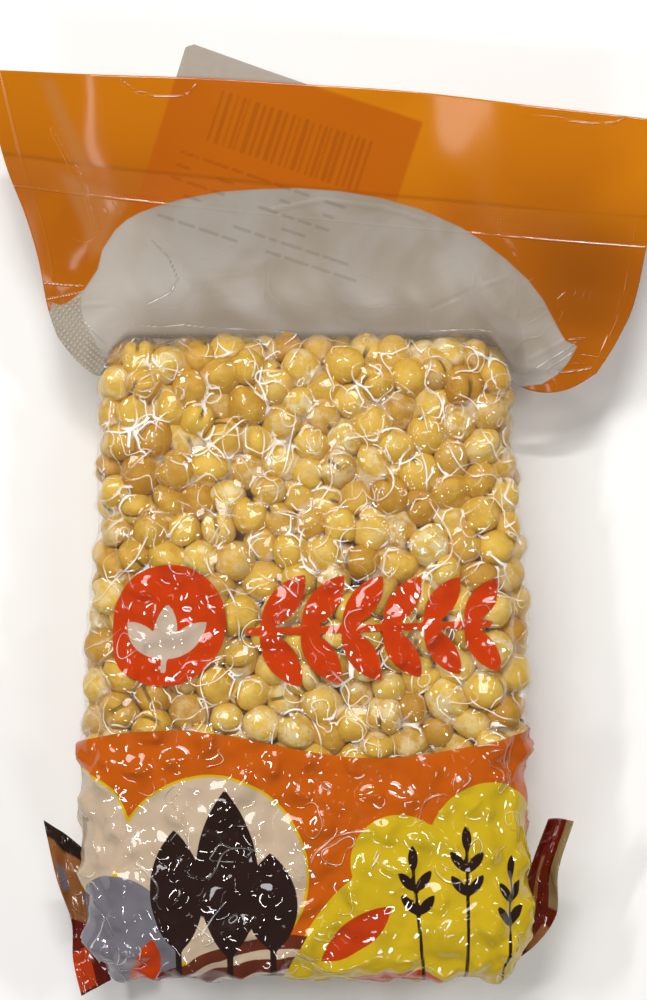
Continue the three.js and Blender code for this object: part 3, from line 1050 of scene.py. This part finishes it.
    def half(self, x, y, from_side):
        """Half the way from the front film to the back film."""
        pocket = smoothstep(30, 60, self.below_top(x, y)) * smoothstep(8, 32, from_side)
        over_brick = 1 - smoothstep(0.72 * self.brick.half[0], self.brick.half[0], np.abs(x))
        uneven = 1 + 0.12 * np.sin(x / 6.1 + 0.5) + 0.08 * np.sin(x / 2.7 + y / 5)
        beyond = np.maximum(0, y - self.shoulder_starts)
        shoulder = self.shoulder_high * over_brick * np.exp(-beyond / (self.shoulder_fades * uneven))
        return self.film_half + self.pocket_half * pocket + shoulder

    def creases(self, x, y):
        """The film's own relief: folds that run out from the brick's end and from its corners."""
        near = np.exp(-np.maximum(0, y - self.shoulder_starts) / 10)
        fans = np.sin(x / 5.3 + 0.7 * np.sin(x / 13)) + 0.4 * np.sin(x / 2.3 + y / 9)
        wings = np.exp(-((np.abs(x - 4) - 68) ** 2) / 110) * np.exp(-((y - 88) ** 2) / 110)
        pleats = np.sin(y / 2.1 + x / 9)
        return 0.35 * near * fans + 0.3 * wings * pleats


class CHICKPEAS_OT_header(Piece, bpy.types.Operator):
    """Lays the flat header beyond the brick, with its window and its sealed band"""

    bl_idname = "chickpeas.header"
    bl_label = "Header"

    def make(self, scene):
        header = Header(Brick(scene.brick_sizes))
        print_at = {}

        def put(u, v, side):
            x, y = header.on(u, v).T
            left, right = spline(header.left, v), spline(header.right, v)
            from_side = np.minimum(u, 1 - u) * np.linalg.norm(right - left, axis=1)
            print_at.update(x=x, y=y, from_side=from_side)
            z = header.middle(x, y) + header.creases(x, y)
            z += side * header.half(x, y, from_side) * np.where(side > 0, 1.25, 1)
            return np.stack([x, y, z], axis=1)

        bm, _, _ = sheet(290, 126, put)
        x, y, from_side = print_at["x"], print_at["y"], print_at["from_side"]
        a, b = on_label(x, y)
        write_layers(
            bm,
            window=inside_of(x, y, header.window),
            below=header.below_top(x, y),
            from_side=from_side,
            body=smoothstep(81.6, 84.8, y + 9 * smoothstep(46, 56, np.abs(x))),
            glare=any_of(*(inside_of(x, y, outline) for outline in header.glare)),
            band=header.below_ends(x, y) - 0.025 * x - 26.6,
            # Where a patch of painted shade lies on the right wing.
            shade=np.exp(-(np.hypot(x - 72, (y - 98) * 0.9) ** 2) / 260),
            pale=1 - smoothstep(-52, -34, x),
            fold=from_lines(x, y, header.folds),
            bend=from_lines(x, y, header.bends),
            knurl=inside_of(x, y, header.knurl),
            pull=np.exp(-np.maximum(0, y - 82) / 16),
            label=np.minimum(LABEL_SIZE[0] / 2 - np.abs(a), LABEL_SIZE[1] / 2 - np.abs(b)),
            marks=label_marks(a, b),
        )
        finish(bm, "film_header", header_material(scene.print_colours), "bag")


EARS = {
    "left": {
        "root": [(-52, -87, 16), (-54, -80, 17), (-55.5, -72, 20), (-56.5, -63, 22), (-57, -52, 25)],
        "rim": [(-60, -91.5, 15), (-62, -81.5, 17), (-62.2, -71, 18.5), (-65.6, -58.5, 23), (-68.2, -42.7, 29)],
        "hollow": 2.5,
        "ground": "maroon",
        "patches": (
            ("red", 0.5, 2, 0.1, 0.4), ("tan", -1, 2, 0.58, 2), ("slate", 0.8, 1.0, 0.78, 0.9),
            ("dark", -1, 2, 0.96, 2),
        ),
    },
    "right": {
        "root": [(44, -84, 15), (51, -75, 17), (56, -66, 21), (58.5, -55, 26), (62.5, -42, 31)],
        "rim": [(50, -85, 14), (59, -79, 17), (65.5, -69, 21), (65.5, -56, 27), (69, -42.5, 32)],
        "hollow": 3.0,
        "ground": "maroon",
        "patches": (
            ("tan", 0.38, 0.5, 0.3, 0.88), ("tan", 0.86, 2, 0.3, 0.5), ("olive", 0.84, 2, 0.62, 2),
            ("slate", 0.3, 2, -1, 0.24), ("cream", -1, 0.6, -1, 0.12),
        ),
    },
}


class CHICKPEAS_OT_ears(Piece, bpy.types.Operator):
    """Folds the two bottom corners of the pouch out beside the brick"""

    bl_idname = "chickpeas.ears"
    bl_label = "Ears"

    def make(self, scene):
        for name, ear in EARS.items():
            self.fold(scene, name, ear)

    def fold(self, scene, name, ear):
        def put(u, v, side):
            p = spline(ear["root"], v) * (1 - u[:, None]) + spline(ear["rim"], v) * u[:, None]
            fold = np.abs((2.2 * u + 1.3 * v) % 1 - 0.5) - 0.25
            hand = 1 if name == "right" else -1
            p[:, 2] += hand * side * 0.3 - ear["hollow"] * np.sin(math.pi * u) * v + 1.6 * fold * u
            return p

        bm, u, v = sheet(22, 56, put)
        write_layers(bm, across=u, along=v)
        material = ear_material(f"ear_film_{name}", scene.print_colours, ear["ground"], ear["patches"])
        finish(bm, f"film_ear_{name}", material, "bag")


class CHICKPEAS_OT_label(Piece, bpy.types.Operator):
    """Sticks the price label to the back of the header"""

    bl_idname = "chickpeas.label"
    bl_label = "Price label"

    def make(self, scene):
        header = Header(Brick(scene.brick_sizes))
        wide, high = LABEL_SIZE
        flat = {}

        def put(u, v, side):
            a, b = (u - 0.5) * wide, (v - 0.5) * high
            round_corner = 1.6 * np.clip(np.abs(a) / (wide / 2) + np.abs(b) / (high / 2) - 1.94, 0, 1) / 0.06
            a, b = a - np.sign(a) * round_corner * 0.5, b - np.sign(b) * round_corner * 0.5
            flat.update(a=a, b=b)
            x = a * math.cos(LABEL_TURN) - b * math.sin(LABEL_TURN) + LABEL_PLACE[0]
            y = a * math.sin(LABEL_TURN) + b * math.cos(LABEL_TURN) + LABEL_PLACE[1]
            back = header.middle(x, y) - header.half(x, y, np.full(x.shape, 40.0))
            return np.stack([x, y, back - LABEL_BEHIND + side * LABEL_HALF], axis=1)

        bm, _, _ = sheet(130, 96, put)
        write_layers(bm, marks=label_marks(flat["a"], flat["b"]))
        finish(bm, "label_paper", label_material(scene.print_colours), "price_label")


LABEL_SIZE = 65, 48
LABEL_BEHIND, LABEL_HALF = 0.45, 0.08
LABEL_PLACE = -8, 127
LABEL_TURN = math.radians(-18.5)


def on_label(x, y):
    """The pouch's points as places on the label."""
    x, y = x - LABEL_PLACE[0], y - LABEL_PLACE[1]
    turn = -LABEL_TURN
    return x * math.cos(turn) - y * math.sin(turn), x * math.sin(turn) + y * math.cos(turn)


def label_marks(x, y):
    """The distance inside the label's bars: a block of upright bars, and rows of short dashes."""
    dice = Dice(7)
    bars, at = [], -20.0
    while at < 22:
        wide = 0.5 + 0.9 * dice()
        bars.append(wide / 2 - np.abs(x - at - wide / 2))
        at += wide + 0.5 + 0.8 * dice()
    block = all_of(any_of(*bars), 7 - np.abs(y - 8.5))
    rows = []
    for row in range(6):
        at, level = -27.0 + 2 * dice(), -3.2 - 3.5 * row
        while at < 24:
            long = 1.5 + 5 * dice()
            if dice() < 0.6:
                rows.append(stroke(x, y, at, level, at + long, level, 0.9))
            at += long + 1.6
    return any_of(block, *rows)


class CHICKPEAS_OT_stage(Piece, bpy.types.Operator):
    """Lays the pale floor and sets up the camera and the soft studio light"""

    bl_idname = "chickpeas.stage"
    bl_label = "Floor, camera and lights"

    def make(self, scene):
        sizes = scene.stage_sizes
        self.floor(sizes)
        self.camera(scene, sizes)
        self.lights(scene, sizes)

    def floor(self, sizes):
        bm = bmesh.new()
        bmesh.ops.create_grid(bm, x_segments=1, y_segments=1, size=3)
        mesh = bpy.data.meshes.new("floor")
        bm.to_mesh(mesh)
        bm.free()
        floor = bpy.data.objects.new("floor", mesh)
        bpy.context.scene.collection.objects.link(floor)
        recipe = Recipe("pale_floor")
        dull = {"Base Color": sizes.floor, "Roughness": 0.8, "Specular IOR Level": 0.2}
        mesh.materials.append(recipe.done(recipe.node("ShaderNodeBsdfPrincipled", dull).outputs[0]))

    def camera(self, scene, sizes):
        data = bpy.data.cameras.new("camera")
        data.sensor_fit = "VERTICAL"
        data.sensor_height = 24
        data.lens = 24 * (sizes.height - sizes.front) / sizes.seen
        data.clip_start = 0.01
        camera = bpy.data.objects.new("camera", data)
        camera.location = (sizes.centre_x, sizes.centre_y, sizes.height)
        scene.collection.objects.link(camera)
        scene.camera = camera

    def lights(self, scene, sizes):
        world = bpy.data.worlds.new("studio")
        world.use_nodes = True
        world.node_tree.nodes["Background"].inputs["Color"].default_value = (1, 1, 1, 1)
        world.node_tree.nodes["Background"].inputs["Strength"].default_value = 0.14
        scene.world = world
        scene.view_settings.view_transform = "Standard"
        for name, place_at, size, power in LIGHTS:
            data = bpy.data.lights.new(name, "AREA")
            data.shape = "RECTANGLE"
            data.size, data.size_y = size
            data.energy = power
            light = bpy.data.objects.new(name, data)
            light.location = place_at
            aim = Vector((0, 0.02, 0.03)) - light.location
            light.rotation_euler = aim.to_track_quat("-Z", "Y").to_euler()
            scene.collection.objects.link(light)


def ring_light(turn, power):
    """A strip light that stands that many degrees round from the header's end."""
    angle = math.radians(turn)
    return f"ring_{turn}", (0.85 * math.sin(angle), 0.85 * math.cos(angle), 1.0), (0.3, 0.05), power


LIGHTS = (
    ("soft_overhead", (-0.3, 0.75, 1.2), (0.6, 0.4), 8),
    ("sheen_above", (0.171, 0.036, 1.3), (0.3, 0.055), 0.2),
    *(ring_light(*light) for light in ((0, 5.0), (70, 3.7), (150, 2.0), (215, 2.0), (290, 4.6))),
)


# ---- The add-on ----


class CHICKPEAS_PT_panel(bpy.types.Panel):
    """Lists the pieces of the pouch"""

    bl_label = "Bag of Roasted Chickpeas"
    bl_idname = "CHICKPEAS_PT_panel"
    bl_space_type = "VIEW_3D"
    bl_region_type = "UI"
    bl_category = "Chickpeas"

    def draw(self, context):
        for name in GROUPS:
            box = self.layout.box()
            for key in getattr(context.scene, name).__annotations__:
                box.prop(getattr(context.scene, name), key)
        for operator in OPERATORS:
            self.layout.operator(operator.bl_idname)


GROUPS = {
    "brick_sizes": BrickSizes,
    "chickpea_sizes": ChickpeaSizes,
    "print_colours": PrintColours,
    "stage_sizes": StageSizes,
}
OPERATORS = (
    CHICKPEAS_OT_fill,
    CHICKPEAS_OT_brick_film,
    CHICKPEAS_OT_header,
    CHICKPEAS_OT_ears,
    CHICKPEAS_OT_label,
    CHICKPEAS_OT_stage,
)
CLASSES = (*GROUPS.values(), *OPERATORS, CHICKPEAS_PT_panel)


def register():
    for cls in CLASSES:
        bpy.utils.register_class(cls)
    for name, group in GROUPS.items():
        setattr(bpy.types.Scene, name, bpy.props.PointerProperty(type=group))


def unregister():
    for name in GROUPS:
        delattr(bpy.types.Scene, name)
    for cls in reversed(CLASSES):
        bpy.utils.unregister_class(cls)


def main():
    register()
    bpy.ops.chickpeas.fill()
    bpy.ops.chickpeas.brick_film()
    bpy.ops.chickpeas.header()
    bpy.ops.chickpeas.ears()
    bpy.ops.chickpeas.label()
    bpy.ops.chickpeas.stage()


if __name__ == "__main__":
    main()
